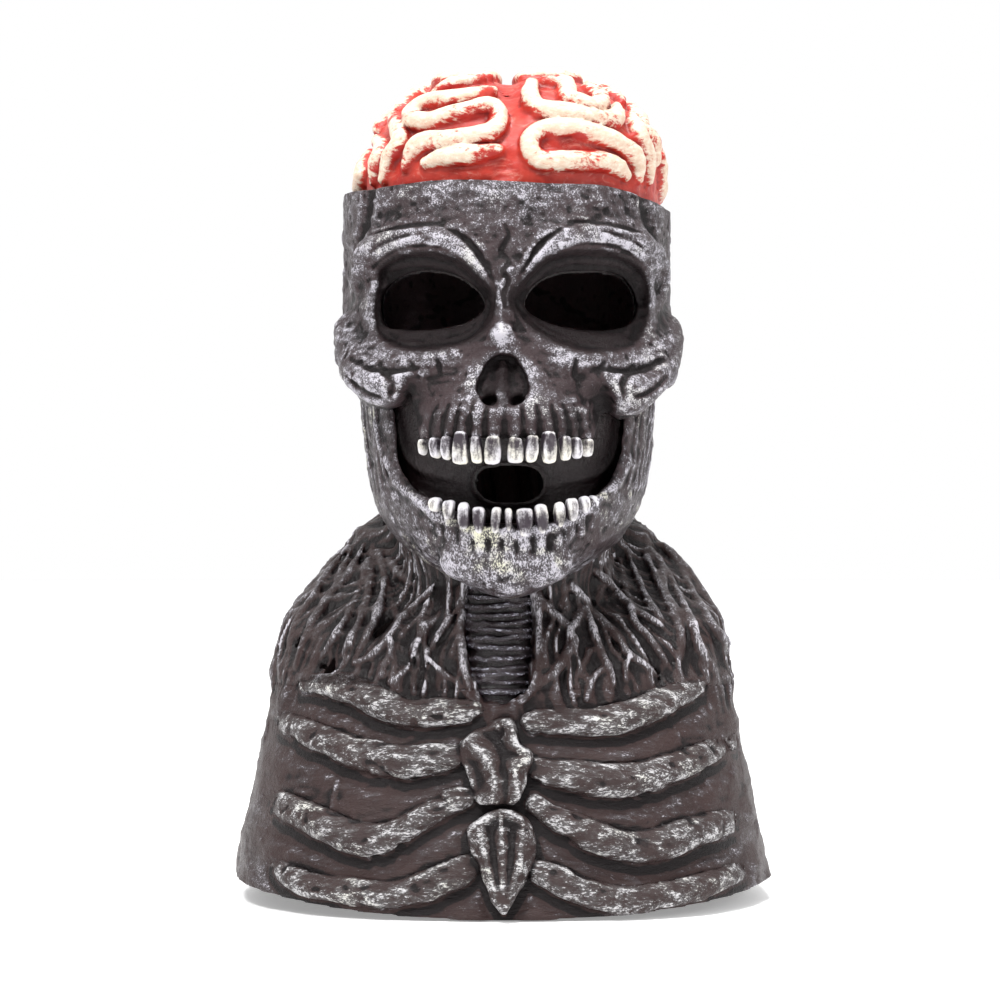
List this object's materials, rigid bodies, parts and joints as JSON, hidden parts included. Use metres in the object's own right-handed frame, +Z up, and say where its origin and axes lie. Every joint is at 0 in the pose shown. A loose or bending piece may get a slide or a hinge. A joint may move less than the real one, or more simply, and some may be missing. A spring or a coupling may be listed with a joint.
{
  "type": "latex mask",
  "caption": "Full-head latex skull mask with an exposed brain, an open hinged lower jaw with teeth, a sinewy neck and a ribbed chest bib.",
  "frame": {"origin": "centre of the wearer's head at the eye line, on the mask's middle plane", "axes": "+Z up, -Y the way the mask faces, +X to the wearer's left; node names use left for -X and right for +X, as seen from in front"},
  "size_m": [0.2912, 0.2311, 0.441],
  "materials": {
    "brain_latex": "glossy blood-red latex, drybrushed cream on the folds",
    "skull_latex": "satin dark grey latex, drybrushed silver-grey",
    "tooth_latex": "satin off-white latex, stained dark at the gums",
    "liner_latex": "glossy near-black plum latex",
    "jaw_latex": "satin dark latex, drybrushed bone white",
    "stud": "moulded black",
    "eyelet": "dull nickel",
    "flesh_latex": "semi-gloss dark brown-plum latex, drybrushed pale lilac on the sinews",
    "windpipe_latex": "glossy near-black latex",
    "chest_latex": "semi-gloss dark brown-plum latex",
    "bone_latex": "semi-gloss dark latex, drybrushed bone white"
  },
  "bodies": {
    "mask": {"brain_cap": "brain_latex", "face_shell": "skull_latex", "rear_shell": "skull_latex", "upper_teeth": "tooth_latex", "face_liner": "liner_latex", "left_jaw_stud": "stud", "right_jaw_stud": "stud", "neck_skin": "flesh_latex", "windpipe": "windpipe_latex", "chest_front": "chest_latex", "chest_back": "chest_latex", "left_collarbone": "bone_latex", "right_collarbone": "bone_latex", "left_rib_upper": "bone_latex", "left_rib_middle": "bone_latex", "left_rib_lower": "bone_latex", "right_rib_upper": "bone_latex", "right_rib_middle": "bone_latex", "right_rib_lower": "bone_latex", "breastbone_upper": "bone_latex", "breastbone_lower": "bone_latex"},
    "jaw": {"jaw_shell": "jaw_latex", "lower_teeth": "tooth_latex", "left_jaw_eyelet": "eyelet", "right_jaw_eyelet": "eyelet"}
  },
  "joints": [
    {"name": "jaw_hinge", "type": "hinge", "parent": "mask", "child": "jaw", "pos_m": [0, 0.012, -0.03], "axis": [-1, 0, 0], "range_deg": [-1.5, 6], "stiffness_Nm_per_rad": 1.2, "springref_deg": 2.86}
  ]
}
